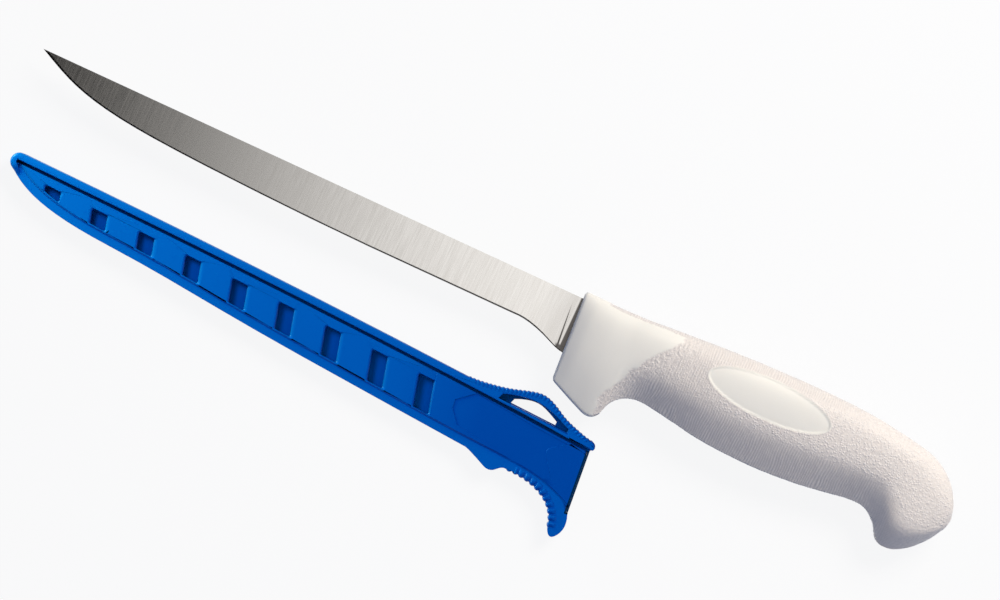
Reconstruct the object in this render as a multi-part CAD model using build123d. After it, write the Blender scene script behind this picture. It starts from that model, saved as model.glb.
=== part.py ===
from build123d import *

import os
from math import cos, hypot, pi, radians, sin, tan

# A flexible fillet knife with its vented sheath, lying side by side.
# Knife frame: X runs from the blade's tip to the butt, with 0 at the front of the handle.
# Y runs from the cutting edge to the back, with 0 on the blade's straight spine.
# Z is up, with 0 at the middle of the blade's thickness.
# Sheath frame: X and Y the same way, with 0 at the mouth, on the chord of the long groove.
# Z is 0 on the face that the sheath lies on.
# The finished pieces are moved so that the origin is the bottom centre of their box.

# Blade
blade_length = 203.0
blade_height = 14.6
heel_drop = 5.1
heel_flare_length = 20.0
stock_thickness = 1.9
ground_thickness = 1.6
tip_thickness = 0.9
edge_thickness = 0.3
edge_bevel_degrees = 30.0
heel_strip_width = 1.7
heel_strip_height = 17.6
heel_strip_corner = 1.3
blade_seat_depth = 2.0

# Tang, inside the handle
tang_length = 98.0
tang_height = 11.0
tang_drop = 4.0
tang_corner = 3.0
tang_hole_radius = 2.4
tang_hole_count = 3
tang_hole_margin = 26.0

# Handle
handle_length = 146.0
handle_depth = 36.0
handle_thickness = 22.0
grip_wall = 2.6
section_points = 16
guard_rim_end = 18.0
belly_rim_start = 30.0
section_spacing = 4.8
steps_per_station = 8
core_first_station = 6
core_last_station = 13
badge_length = 45.2
badge_height = 14.1
badge_recess = 0.4
badge_place = 71.8
badge_drop = 4.8

# Sheath, in plan
tip_room = 18.2
edge_room = 3.3
nose_radius = 3.2
nose_turn_degrees = 143.0
sheath_bow = 1.3
groove_width = 1.05
rim_width = 2.65
side_wall = 1.5
crease_inset = 3.45
mouth_slant_degrees = 7.1
mouth_height = 23.0
mouth_place = 0.8
mouth_lip = 0.75
hook_drop = 32.2
tab_reach = 0.85
tab_share = 0.75
ramp_length = 48.0
ramp_rise = 6.3
ramp_bump_pitch = 1.47
ramp_bump_height = 0.25
finger_bump_pitch = 2.15
finger_bump_height = 0.5
bump_radius_share = 0.56
loop_length = 17.0
loop_height = 4.0
loop_place = 22.4
loop_pocket_margin = 4.6
loop_pocket_step = 0.35
loop_wall = 1.5
panel_corner = 1.4
seam_share = 0.65

# Sheath, in height
back_wall = 1.6
blade_slot = 4.6
flange_thickness = 0.9
panel_rise = 0.7
pad_rise = 0.3
rim_rise = 0.4
loop_floor = 3.0

# Windows in the sheath, as many as fit between the label pad and the nose
window_nose_room = 13.0
window_pitch = 17.9
window_width = 6.2
window_place = 63.8
window_top = 2.9
window_lean_degrees = 16.5
window_corner = 0.8
window_draft_degrees = 12.0

# How the sheath lies beside the knife
sheath_turn_degrees = -2.065
sheath_x = 23.2
sheath_y = -46.4

# Extra length that lets a cut pass right through
overrun = 2.0

# Lengths that follow from the ones above
sheath_length = blade_length + tip_room
sheath_depth = blade_height + edge_room
slot_top = back_wall + blade_slot
flange_top = slot_top + flange_thickness
panel_top = flange_top + panel_rise
pad_top = panel_top + pad_rise
rim_top = pad_top + rim_rise
window_count = 1 + int((sheath_length - window_place - window_nose_room) / window_pitch)

# Cutting edge: distance from the handle in blade lengths, drop in blade heights
edge_shares = (
    (0.370, 1.000),
    (0.497, 0.974),
    (0.632, 0.918),
    (0.766, 0.825),
    (0.867, 0.665),
    (0.934, 0.425),
    (1.000, 0.012),
)
# Heel: distance from the handle in flare lengths, drop below the edge in heel drops
flare_shares = ((-0.15, 1.00), (0.05, 0.93), (0.30, 0.56), (0.58, 0.19), (1.00, 0.00))

# Handle stations: back x, back y, belly x, belly drop, half thickness.
# The x values are shares of the length, the y values of the depth, the last of the thickness.
station_shares = (
    (0.000, 0.075, 0.014, 0.822, 0.195),
    (0.036, 0.075, 0.043, 0.875, 0.310),
    (0.080, 0.076, 0.086, 0.950, 0.382),
    (0.115, 0.079, 0.120, 0.996, 0.415),
    (0.135, 0.081, 0.145, 0.955, 0.430),
    (0.156, 0.084, 0.158, 0.812, 0.442),
    (0.182, 0.092, 0.182, 0.712, 0.456),
    (0.222, 0.104, 0.222, 0.668, 0.474),
    (0.288, 0.125, 0.288, 0.700, 0.490),
    (0.390, 0.151, 0.392, 0.763, 0.499),
    (0.514, 0.169, 0.514, 0.782, 0.500),
    (0.630, 0.172, 0.622, 0.757, 0.498),
    (0.726, 0.156, 0.705, 0.709, 0.492),
    (0.800, 0.120, 0.760, 0.675, 0.484),
    (0.850, 0.089, 0.800, 0.685, 0.476),
    (0.886, 0.060, 0.832, 0.775, 0.466),
    (0.918, 0.011, 0.858, 0.920, 0.452),
    (0.945, -0.062, 0.893, 0.940, 0.425),
    (0.969, -0.160, 0.932, 0.862, 0.375),
    (0.988, -0.290, 0.968, 0.715, 0.290),
    (0.998, -0.425, 0.992, 0.560, 0.165),
)
# Powers that round the handle's section at the back, the belly and the sides, and its widest place
back_power = 0.72
belly_power = 1.12
side_power = 0.62
widest_share = 0.12
# The bevel on the belly: where it starts and the height it ends at, as shares of the section
bevel_start_share = 0.25
guard_rim_share = 0.54
belly_rim_share = 0.26
bevel_softness = 8

# Lower edge of the sheath from the nose to the finger stop: shares of length and of depth
lower_shares = (
    (0.9580, 0.397),
    (0.9040, 0.572),
    (0.7690, 0.676),
    (0.5880, 0.800),
    (0.3620, 0.922),
    (0.1720, 1.003),
)
# The same edge without the finger stop and hook, on to the mouth
throat_shares = (
    (0.0904, 1.020),
    (0.0542, 1.061),
    (0.0271, 1.140),
    (-0.0020, 1.270),
    (-0.0300, 1.430),
)
# The finger stop, the curve behind it, and the hook at the mouth
stop_shares = (
    (0.1560, 1.067),
    (0.1400, 1.145),
    (0.1265, 1.193),
    (0.1185, 1.165),
    (0.1110, 1.080),
    (0.1010, 1.030),
)
finger_shares = ((0.0740, 1.030), (0.0450, 1.105), (0.0210, 1.270), (0.0080, 1.465), (0.0022, 1.676))
hook_shares = ((-0.0090, 1.799), (-0.0190, 1.640), (-0.0188, 1.360), (-0.0160, 1.274))
# Thumb ramp on the back of the sheath: shares of its length and of its rise
ramp_shares = (
    (1.000, 0.00),
    (0.835, 0.17),
    (0.690, 0.45),
    (0.545, 0.85),
    (0.460, 0.99),
    (0.375, 0.87),
    (0.250, 0.44),
    (0.125, 0.16),
)
# Loop hole: shares of its length from its middle and of its height
loop_shares = ((-0.47, 0.42), (-0.24, 0.83), (0.00, 1.00), (0.28, 0.70), (0.50, 0.30))
# Outline of the shallow label field, in sheath lengths and depths
field_left_shares = ((0.194, 0.00), (0.219, 0.28), (0.217, 0.45), (0.199, 0.70))
field_right_shares = (
    (0.0240, 0.920),
    (0.0320, 0.810),
    (0.0555, 0.450),
    (0.0580, 0.360),
    (0.0545, 0.280),
    (0.0290, 0.045),
)
# The slanting step where the raised pad begins
pad_start_shares = ((0.2636, -0.03), (0.2441, 0.74))


def scaled(shares, length, depth):
    """Points of a table of shares: the first measured back from the mouth or handle, the second down."""
    return [(-length * x, -depth * y) for x, y in shares]


def inset(points, amount):
    """The points moved sideways, to the left of the way they run."""
    moved = []
    for i, (x, y) in enumerate(points):
        xa, ya = points[max(i - 1, 0)]
        xb, yb = points[min(i + 1, len(points) - 1)]
        run = hypot(xb - xa, yb - ya)
        moved.append((x - amount * (yb - ya) / run, y + amount * (xb - xa) / run))
    return moved


def face_of(*edges):
    """A flat face bounded by these edges, which run end to end."""
    return make_face(list(edges))


def at_height(shape, height):
    return Pos(0, 0, height) * shape


def slab(face, low, high):
    """The face, drawn at height 0, as a plate between two heights."""
    return extrude(at_height(face, low), amount=high - low, dir=(0, 0, 1))


# Blade


def above_edge(setback):
    """The region over the cutting edge, with the edge set back, out past the tip and the seat."""
    heel = [(x, y - blade_height) for x, y in scaled(flare_shares, heel_flare_length, heel_drop)]
    line = heel + scaled(edge_shares, blade_length, blade_height)
    (xa, ya), (xb, yb) = line[-2:]
    line.append((2 * xb - xa, 2 * yb - ya))
    line = inset(line, -setback)
    heel, belly = line[: len(heel)], line[len(heel) :]
    first, last = line[0], line[-1]
    return face_of(
        Spline(*heel),
        Line(heel[-1], belly[0]),
        Spline(*belly),
        Line(last, (last[0], blade_height)),
        Line((last[0], blade_height), (first[0], blade_height)),
        Line((first[0], blade_height), first),
    )


def blade_section(x, back, edge):
    """A slice across the blade, thick at the back and thin at the edge."""
    low = -(blade_height + heel_drop)
    corners = [(x, 0, back / 2), (x, low, edge / 2), (x, low, -edge / 2), (x, 0, -back / 2)]
    return Face(Wire.make_polygon([Vector(*corner) for corner in corners], close=True))


def tang_plate():
    """The unground strip at the heel and the drilled tang behind it."""
    strip = Pos(-heel_strip_width, -heel_strip_height) * Rectangle(
        heel_strip_width + blade_seat_depth, heel_strip_height, align=(Align.MIN, Align.MIN)
    )
    corner = strip.vertices().group_by(Axis.Y)[0].sort_by(Axis.X)[0]
    strip = fillet(corner, heel_strip_corner)
    tang = Pos(0, -tang_drop - tang_height) * Rectangle(
        tang_length, tang_height, align=(Align.MIN, Align.MIN)
    )
    tang = fillet(tang.vertices().group_by(Axis.X)[-1], tang_corner)
    plate = strip + tang
    spacing = (tang_length - tang_hole_margin) / tang_hole_count
    for i in range(tang_hole_count):
        x = tang_hole_margin + (i + 1 / 2) * spacing
        plate -= Pos(x, -tang_drop - tang_height / 2) * Circle(tang_hole_radius)
    return extrude(plate, amount=stock_thickness / 2, both=True)


def make_blade():
    """Ground blade, its edge bevels and the tang, as one piece of steel."""
    ground = loft(
        [
            blade_section(-blade_length - overrun, tip_thickness, edge_thickness),
            blade_section(blade_seat_depth, ground_thickness, edge_thickness),
        ],
        ruled=True,
    )
    rise = stock_thickness / 2
    setback = rise / tan(radians(edge_bevel_degrees))
    upper = loft([above_edge(0), at_height(above_edge(setback), rise)], ruled=True)
    bevelled = upper + mirror(upper, about=Plane.XY)
    return (ground & bevelled) + tang_plate()


# Handle


def bevel_rim(x):
    """Height that the belly's bevel ends at, as a share of the half width, at a place."""
    t = min(max((x - guard_rim_end) / (belly_rim_start - guard_rim_end), 0), 1)
    return guard_rim_share + (belly_rim_share - guard_rim_share) * t * t * (3 - 2 * t)


def bevelled(side, place, rim):
    """The section's half width at a place, bent softly down to the line of the belly's bevel."""
    line = rim + (1 - rim) * (place + 1) / (1 - bevel_start_share)
    return side * line / (side**bevel_softness + line**bevel_softness) ** (1 / bevel_softness)


def egg(turn, half_width, back, belly):
    """One point of the handle's section; the turn runs from the back round to the belly."""
    along = cos(turn)
    across = sin(turn)
    s = along**back_power if along > 0 else -(abs(along) ** belly_power)
    s += widest_share * (1 - s * s)
    rim = bevel_rim((back[0] + belly[0]) / 2)
    z = half_width * bevelled(abs(across) ** side_power, s, rim)
    x = (back[0] + belly[0]) / 2 + s * (back[0] - belly[0]) / 2
    y = (back[1] + belly[1]) / 2 + s * (back[1] - belly[1]) / 2
    return Vector(x, y, z)


def handle_section(shares, skin, dip):
    """A closed slice of the handle, its skin taken off all round and a dip off its two sides."""
    back = (shares[0] * handle_length, shares[1] * handle_depth)
    belly = (shares[2] * handle_length, -shares[3] * handle_depth)
    reach = hypot(back[0] - belly[0], back[1] - belly[1])
    ux, uy = (back[0] - belly[0]) / reach, (back[1] - belly[1]) / reach
    back = (back[0] - skin * ux, back[1] - skin * uy)
    belly = (belly[0] + skin * ux, belly[1] + skin * uy)
    half_width = shares[4] * handle_thickness - skin - dip
    turns = [pi * i / section_points for i in range(section_points + 1)]
    points = [egg(turn, half_width, back, belly) for turn in turns]
    upper = Spline(*points, tangents=[Vector(0, 0, 1), Vector(0, 0, -1)])
    return Wire([upper, upper.mirror(Plane.XY)])


def stations(first, last):
    """Rows of the station table from first to last, as many as the spacing asks for, evenly spread."""
    rows = [station_shares[first]]
    for i in range(first, last):
        before = station_shares[max(i - 1, 0)]
        beyond = station_shares[min(i + 2, len(station_shares) - 1)]
        columns = list(zip(before, station_shares[i], station_shares[i + 1], beyond))
        for step in range(1, steps_per_station + 1):
            rows.append([curve(step / steps_per_station, *column) for column in columns])
    travel = [0]
    for here, after in zip(rows, rows[1:]):
        back = hypot((after[0] - here[0]) * handle_length, (after[1] - here[1]) * handle_depth)
        belly = hypot((after[2] - here[2]) * handle_length, (after[3] - here[3]) * handle_depth)
        travel.append(travel[-1] + max(back, belly))
    count = round(travel[-1] / section_spacing)
    return [row_at(travel[-1] * i / count, travel, rows) for i in range(count + 1)]


def row_at(goal, travel, rows):
    """The row that lies a given way along, between the two rows nearest to it."""
    place = sum(1 for way in travel[1:-1] if way < goal)
    t = (goal - travel[place]) / (travel[place + 1] - travel[place])
    return [here + t * (after - here) for here, after in zip(rows[place], rows[place + 1])]


def curve(t, before, here, after, beyond):
    """A value between here and after on the cubic curve whose slope at each follows its neighbours."""
    slope_here = (after - before) / 2
    slope_after = (beyond - here) / 2
    rise = after - here
    cubic = slope_here + slope_after - 2 * rise
    square = 3 * rise - 2 * slope_here - slope_after
    return here + t * (slope_here + t * (square + t * cubic))


def handle_body(skin=0, dip=0, first=0, last=len(station_shares) - 1):
    """The handle's solid through its stations, or a smaller one inside it."""
    sections = [handle_section(shares, skin, dip) for shares in stations(first, last)]
    return Solid.make_loft(sections)


def badge_cutter(side):
    """An oval block that stands on one side of the handle."""
    oval = Pos(badge_place, -badge_drop) * Ellipse(badge_length / 2, badge_height / 2)
    return extrude(oval, amount=side * handle_thickness)


def core_body():
    """The space that the grip leaves for the core and the tang."""
    return handle_body(skin=grip_wall, first=core_first_station, last=core_last_station)


def make_core(blade):
    """The hard inner handle, moulded round the tang."""
    return core_body() - blade


def make_grip(blade):
    """The soft outer grip over the core, with an oval label recess on each side."""
    floor = handle_body(dip=badge_recess)
    recesses = badge_cutter(1) + badge_cutter(-1) - floor
    return handle_body() - recesses - core_body() - blade


# Sheath


def groove_y(x):
    """Height of the long groove's middle, which bows over the chord from nose to mouth."""
    along = (2 * x + sheath_length) / sheath_length
    return sheath_bow * (1 - along * along)


def bowed(start, end, offset):
    """A piece of the bowed line at a sideways offset."""
    xs = (start, (start + end) / 2, end)
    return ThreePointArc(*[(x, groove_y(x) + offset) for x in xs])


def nose_points():
    """Where the nose's round starts, passes and ends."""
    x = -sheath_length + nose_radius
    y = groove_y(x) + groove_width / 2 + rim_width - nose_radius
    turns = [radians(90 + nose_turn_degrees * part / 2) for part in range(3)]
    return [(x + nose_radius * cos(turn), y + nose_radius * sin(turn)) for turn in turns]


def mouth_x(y):
    """The slanted mouth's edge at a height."""
    return mouth_place - y * tan(radians(mouth_slant_degrees))


def lower_line():
    return [nose_points()[2]] + scaled(lower_shares, sheath_length, sheath_depth)


def throat_line(amount):
    """The lower edge without stop and hook, set inwards."""
    points = lower_line() + scaled(throat_shares, sheath_length, sheath_depth)
    return inset(points, amount)


def ramp_edge():
    """The thumb ramp's curve along the back."""
    base = groove_width / 2 + rim_width
    points = []
    for x, y in ramp_shares:
        place = -ramp_length * x
        points.append((place, groove_y(place) + base + ramp_rise * y))
    points.append((tab_reach - ramp_bump_pitch / 4, base))
    return Spline(*points, tangents=[(1, 0), (1, 0)], tangent_scalars=[1, 1])


def finger_edge():
    stop = scaled(stop_shares, sheath_length, sheath_depth)
    points = [stop[-1]] + scaled(finger_shares, sheath_length, sheath_depth)
    return Spline(*points)


def bumps(edge, pitch, height, side):
    """Discs along an edge that stand out of it by a height."""
    radius = pitch * bump_radius_share
    count = int(edge.length / pitch)
    discs = []
    for i in range(count):
        share = (i + 1 / 2) / count
        tangent = edge.tangent_at(share)
        centre = edge.position_at(share) + Vector(tangent.Y, -tangent.X) * side * (radius - height)
        discs.append(Pos(centre.X, centre.Y) * Circle(radius))
    return discs


def sheath_outline():
    """The sheath seen from above, with its ramp, finger stop, hook and mouth."""
    nose = nose_points()
    lower = lower_line()
    stop = [lower[-1]] + scaled(stop_shares, sheath_length, sheath_depth)
    finger = finger_edge()
    hook = [finger.position_at(1)] + scaled(hook_shares, sheath_length, sheath_depth)
    ramp = ramp_edge()
    mouth_low = (mouth_x(-mouth_height), -mouth_height)
    mouth_high = (mouth_x(0), 0)
    tab = [mouth_high, (mouth_x(0) + tab_reach, rim_width * tab_share), ramp.position_at(1)]
    face = face_of(
        bowed(nose[0][0], -ramp_length, groove_width / 2 + rim_width),
        ramp,
        ThreePointArc(*reversed(tab)),
        Line(mouth_high, mouth_low),
        Line(mouth_low, hook[-1]),
        Spline(*reversed(hook)),
        finger,
        Spline(*reversed(stop)),
        Spline(*reversed(lower)),
        ThreePointArc(*reversed(nose)),
    )
    outline = face + bumps(ramp, ramp_bump_pitch, ramp_bump_height, 1)
    return outline + bumps(finger, finger_bump_pitch, finger_bump_height, -1)


def front_zone(offset):
    """All on the cutting side of the groove line, from a seam across the nose to past the mouth."""
    high_x = -sheath_length + nose_radius * seam_share
    centre_x = -sheath_length + nose_radius
    low = nose_points()[2]
    low_x = low[0] + (low[0] - centre_x)
    low_y = 2 * low[1]
    reach = nose_radius + overrun
    bottom = -hook_drop - overrun
    return face_of(
        bowed(high_x, reach, offset),
        Line((reach, groove_y(reach) + offset), (reach, bottom)),
        Line((reach, bottom), (low_x, bottom)),
        Line((low_x, bottom), (low_x, low_y)),
        Line((low_x, low_y), (high_x, groove_y(high_x) + offset)),
    )


def above_throat(amount):
    """All that lies over the lower edge line, set inwards by an amount."""
    line = throat_line(amount)
    top = sheath_depth
    return face_of(
        Spline(*line),
        Line(line[-1], (line[-1][0], top)),
        Line((line[-1][0], top), (line[0][0], top)),
        Line((line[0][0], top), line[0]),
    )


def mouth_strip():
    """What the front cover leaves free along the slanted mouth."""
    top = rim_width
    low = -mouth_height
    reach = nose_radius + overrun
    edge = [(mouth_x(top) - mouth_lip, top), (mouth_x(low) - mouth_lip, low)]
    corners = edge + [(reach, low), (reach, top)]
    return make_face(Polyline(*corners, close=True))


def cover_plan():
    """Outline of the front cover, with its corner at the mouth rounded."""
    plan = (sheath_outline() & front_zone(-groove_width / 2)) - mouth_strip()
    corner_place = Vector(mouth_x(0) - mouth_lip, -groove_width / 2)
    corner = plan.vertices().sort_by_distance(corner_place)[0]
    return fillet(corner, panel_corner)


def crossing(edge, ray):
    """Where a slanting ray meets an edge."""
    point = edge.closest_points(ray)[0]
    return (point.X, point.Y)


def window(x):
    """One leaning opening, its top left corner at x and its foot on the crease."""
    lean = sheath_depth * tan(radians(window_lean_degrees))
    top = groove_y(x) / 2 - window_top
    crease = Spline(*throat_line(crease_inset))
    starts = [(x, top), (x + window_width, top)]
    feet = [crossing(crease, Line(start, (start[0] + lean, top - sheath_depth))) for start in starts]
    shape = make_face(Polyline(*starts, *reversed(feet), close=True))
    return fillet(shape.vertices(), window_corner)


def front_windows():
    places = [-window_place - window_pitch * i for i in range(window_count)]
    return [window(x) for x in places]


def back_windows():
    """Openings in the back wall, each halfway between two of the front ones."""
    places = [-window_place - window_pitch * (i + 1 / 2) for i in range(window_count - 1)]
    return [window(x) for x in places]


def label_field():
    """The shallow field on the raised pad near the mouth."""
    left = scaled(field_left_shares, sheath_length, sheath_depth)
    right = scaled(field_right_shares, sheath_length, sheath_depth)
    return make_face(Polyline(*left, *right, close=True))


def pad_plan(plan):
    """The raised pad, from its slanting step to the mouth."""
    (xa, ya), (xb, yb) = scaled(pad_start_shares, sheath_length, sheath_depth)
    reach = nose_radius + overrun
    low = -sheath_depth - overrun * 2
    lean = (xb - xa) / (yb - ya)
    corners = [(xa, ya), (xa + lean * (low - ya), low), (reach, low), (reach, ya)]
    beyond = make_face(Polyline(*corners, close=True))
    return plan & above_throat(crease_inset) & beyond


def loop_shape(beside, around):
    """The hole under the thumb ramp, made longer at its two ends and wider all round."""
    base = groove_y(-loop_place) + groove_width / 2 + loop_wall - around
    length = loop_length + 2 * beside
    height = loop_height + 2 * around
    arch = [(-loop_place + length * x, base + height * y) for x, y in loop_shares]
    left = (-loop_place - length / 2, base)
    right = (-loop_place + length / 2, base)
    return face_of(Line(left, right), Line(right, arch[-1]), Spline(*reversed(arch)), Line(arch[0], left))


def make_sheath_back():
    """Back shell: floor, rims, thumb ramp with its loop, finger stop and hook."""
    shell = slab(sheath_outline(), 0, rim_top)
    high = rim_top + overrun
    shell -= slab(front_zone(groove_width / 2), slot_top, high)
    shell -= slab(above_throat(side_wall) & front_zone(groove_width / 2), back_wall, high)
    shell -= slab(loop_shape(loop_pocket_margin, loop_pocket_step), loop_floor, high)
    shell -= slab(loop_shape(0, 0), -overrun, high)
    for opening in back_windows():
        shell -= slab(opening, -overrun, back_wall + overrun)
    return shell


def make_sheath_front():
    """Front cover: flange all round the lower edge, windowed panel and label pad."""
    plan = cover_plan()
    cover = slab(plan, slot_top, flange_top)
    slope = loft(
        [
            at_height(above_throat(crease_inset - panel_rise), flange_top),
            at_height(above_throat(crease_inset), panel_top),
        ],
        ruled=True,
    )
    cover += slope & slab(plan, flange_top, panel_top)
    cover += slab(pad_plan(plan), panel_top, pad_top)
    cover -= slab(label_field(), panel_top, pad_top + overrun)
    for opening in front_windows():
        cover -= extrude(at_height(opening, pad_top), amount=slot_top - pad_top, taper=window_draft_degrees)
    return cover


def lay_out():
    """All pieces in the shared frame, by name."""
    blade = make_blade()
    knife = {"blade": blade, "handle_core": make_core(blade), "handle_grip": make_grip(blade)}
    rise = -knife["handle_grip"].bounding_box().min.Z
    pieces = {name: at_height(piece, rise) for name, piece in knife.items()}
    beside = Pos(sheath_x, sheath_y) * Rot(0, 0, sheath_turn_degrees)
    pieces["sheath_back"] = beside * make_sheath_back()
    pieces["sheath_front"] = beside * make_sheath_front()
    middle = Compound(list(pieces.values())).bounding_box().center()
    return {name: Pos(-middle.X, -middle.Y) * piece for name, piece in pieces.items()}


def main():
    os.makedirs("parts", exist_ok=True)
    for name, piece in lay_out().items():
        export_step(piece, f"parts/{name}.step")


if __name__ == "__main__":
    main()
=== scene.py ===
"""Looks of a flexible fillet knife and its vented sheath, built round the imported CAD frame.

Lengths in the classes are millimetres, and each mesh is written in metres in the frame of the CAD
model: X runs towards the butt of the handle, Y towards the back of the blade, Z up.
"""

import logging
import math
from dataclasses import dataclass, field
from enum import Enum

import bmesh
import bpy
import numpy as np
from mathutils import Matrix, Vector


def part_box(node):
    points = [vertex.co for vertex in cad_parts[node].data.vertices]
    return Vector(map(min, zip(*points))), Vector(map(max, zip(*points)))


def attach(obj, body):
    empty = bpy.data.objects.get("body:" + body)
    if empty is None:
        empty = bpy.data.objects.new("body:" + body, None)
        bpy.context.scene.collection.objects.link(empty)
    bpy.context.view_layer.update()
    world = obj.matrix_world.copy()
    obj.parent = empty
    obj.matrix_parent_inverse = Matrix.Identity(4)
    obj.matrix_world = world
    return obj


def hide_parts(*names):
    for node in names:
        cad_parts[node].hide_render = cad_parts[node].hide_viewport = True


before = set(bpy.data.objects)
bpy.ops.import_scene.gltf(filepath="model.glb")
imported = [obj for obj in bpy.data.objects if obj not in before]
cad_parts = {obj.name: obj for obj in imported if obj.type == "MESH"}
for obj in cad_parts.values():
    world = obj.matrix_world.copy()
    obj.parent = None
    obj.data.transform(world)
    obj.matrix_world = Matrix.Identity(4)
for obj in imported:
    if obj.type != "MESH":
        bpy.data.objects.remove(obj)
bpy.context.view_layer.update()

MM = 0.001
RAMP = ("From Min", "From Max", "To Min", "To Max")
TIMES = {"operation": "MULTIPLY"}
LOG = logging.getLogger("fillet_knife")
Piece = bpy.types.Object
Material = bpy.types.Material
Tree = bpy.types.NodeTree
Node = bpy.types.Node
Source = bpy.types.NodeSocket | Node


class Slot(Enum):
    """Material slots of the record."""

    STEEL = "blade_steel"
    CORE = "core_plastic"
    GRIP = "grip_rubber"
    SHEATH = "sheath_plastic"


class Rider(Enum):
    """Bodies of the frame."""

    KNIFE = "knife"
    SHEATH = "sheath"


# Numbers and arrays


def linear(hex_colour: str) -> tuple[float, float, float, float]:
    """Turns an sRGB hex colour into linear red, green and blue with an alpha of one.

    Args:
        hex_colour: six hex digits after a hash sign.

    Returns:
        The four channels that a shader socket takes.
    """
    channels = np.array([int(hex_colour[i : i + 2], 16) for i in (1, 3, 5)]) / 255
    curved = np.where(channels <= 0.04045, channels / 12.92, ((channels + 0.055) / 1.055) ** 2.4)
    return (*map(float, curved), 1.0)


def smooth(low: float, high: float, values: np.ndarray) -> np.ndarray:
    """Rises from 0 at low to 1 at high with level ends: 3 t squared minus 2 t cubed."""
    t = np.clip((values - low) / (high - low), 0, 1)
    return t * t * (3 - 2 * t)


def cell_numbers(cells: np.ndarray, seed: int) -> np.ndarray:
    """Gives each whole-number cell its own number from 0 to 1 by mixing the bits of its place.

    Args:
        cells: whole numbers, with the three coordinates on the last axis.
        seed: picks one of many such patterns.

    Returns:
        One number per cell.
    """
    x, y, z = (cells[..., i].astype(np.int64) for i in range(3))
    mixed = (x * 73856093) ^ (y * 19349663) ^ (z * 83492791) ^ (seed * 2654435761)
    mixed = ((mixed ^ (mixed >> 13)) * 1274126177) & 0x7FFFFFFFFFFF
    return ((mixed ^ (mixed >> 16)) & 0xFFFFFF) / 0x1000000


def soft_noise(points: np.ndarray, cell: float, seed: int) -> np.ndarray:
    """Smooth noise from 0 to 1: the numbers of the eight cells about a point, blended by nearness.

    Args:
        points: places, with the three coordinates on the last axis.
        cell: width of a cell, in the points' unit.
        seed: picks the pattern.

    Returns:
        One value per point.
    """
    scaled = points / cell
    base = np.floor(scaled)
    part = scaled - base
    part = part * part * (3 - 2 * part)
    total = np.zeros(points.shape[:-1])
    for corner in np.ndindex(2, 2, 2):
        near = np.where(np.array(corner) == 1, part, 1 - part).prod(axis=-1)
        total += near * cell_numbers(base + corner, seed)
    return total


def grains(points: np.ndarray, cell: float, seed: int) -> np.ndarray:
    """Rounded grains from 0 to 1: one seed per cell, and a dome that falls with the distance to it.

    Args:
        points: places, with the three coordinates on the last axis.
        cell: mean distance between grains, in the points' unit.
        seed: picks the pattern.

    Returns:
        One height per point.
    """
    scaled = points / cell
    base = np.floor(scaled)
    nearest = np.full(points.shape[:-1], 9.0)
    for step in np.ndindex(3, 3, 3):
        cells = base + np.array(step) - 1
        seeds = np.stack([cell_numbers(cells, seed + i) for i in range(3)], axis=-1)
        nearest = np.minimum(nearest, ((cells + seeds - scaled) ** 2).sum(axis=-1))
    return np.clip(1 - nearest / 0.55, 0, 1)


def mesh_object(name: str, points: np.ndarray, faces: list) -> Piece:
    """Makes a smooth mesh piece at the origin from points in millimetres of the frame.

    Args:
        name: the piece's name.
        points: one row per vertex.
        faces: rows of vertex numbers.

    Returns:
        The new object, linked to the scene.
    """
    mesh = bpy.data.meshes.new(name)
    mesh.from_pydata(np.asarray(points, float) * MM, [], faces)
    mesh.polygons.foreach_set("use_smooth", np.ones(len(mesh.polygons), bool))
    mesh.update()
    piece = bpy.data.objects.new(name, mesh)
    bpy.context.scene.collection.objects.link(piece)
    return piece


def ring_faces(rows: int, columns: int) -> np.ndarray:
    """Quads of a tube of points, whose columns close round on themselves.

    Args:
        rows: rings along the tube.
        columns: points in each ring.

    Returns:
        One row of four vertex numbers per quad.
    """
    row, column = np.meshgrid(np.arange(rows - 1), np.arange(columns), indexing="ij")
    here = row * columns + column
    beside = row * columns + (column + 1) % columns
    return np.stack([here, beside, beside + columns, here + columns], axis=-1).reshape(-1, 4)


def give_attribute(piece: Piece, name: str, values: np.ndarray) -> None:
    """Stores one number per vertex under a name that a material reads."""
    attribute = piece.data.attributes.new(name, "FLOAT", "POINT")
    attribute.data.foreach_set("value", values.astype(np.float32).ravel())


def settle(piece: Piece, body: Rider, slot: Slot, *nodes: str) -> Piece:
    """Rides a finished piece on its body and hides the nodes that it replaces.

    Args:
        piece: the finished piece.
        body: the body it moves with.
        slot: the record's material slot; not used.
        nodes: the CAD nodes that it replaces.

    Returns:
        The same piece.
    """
    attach(piece, body.value)
    if nodes:
        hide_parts(*nodes)
    LOG.info("%s: %d faces on %s", piece.name, len(piece.data.polygons), body.value)
    return piece


# Materials


def add_node(tree: Tree, kind: str, settings: dict | None = None, links: dict | None = None) -> Node:
    """Adds one shader node with its settings and links.

    Args:
        tree: the material's node tree.
        kind: the node's type, without its common prefix.
        settings: values of the node's properties or of its input sockets, by name or number.
        links: what feeds its inputs, by name or number: a socket, or a node for its first output.

    Returns:
        The new node.
    """
    made = tree.nodes.new("ShaderNode" + kind)
    for name, value in (settings or {}).items():
        if isinstance(name, str) and name in made.bl_rna.properties:
            setattr(made, name, value)
        else:
            made.inputs[name].default_value = value
    for name, source in (links or {}).items():
        is_node = isinstance(source, Node)
        tree.links.new(source.outputs[0] if is_node else source, made.inputs[name])
    return made


def start_material(name: str) -> tuple[Material, Tree]:
    """Makes a material with an empty node tree.

    Args:
        name: the material's name.

    Returns:
        The material and its tree.
    """
    material = bpy.data.materials.new(name)
    material.use_nodes = True
    material.node_tree.nodes.clear()
    return material, material.node_tree


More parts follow.
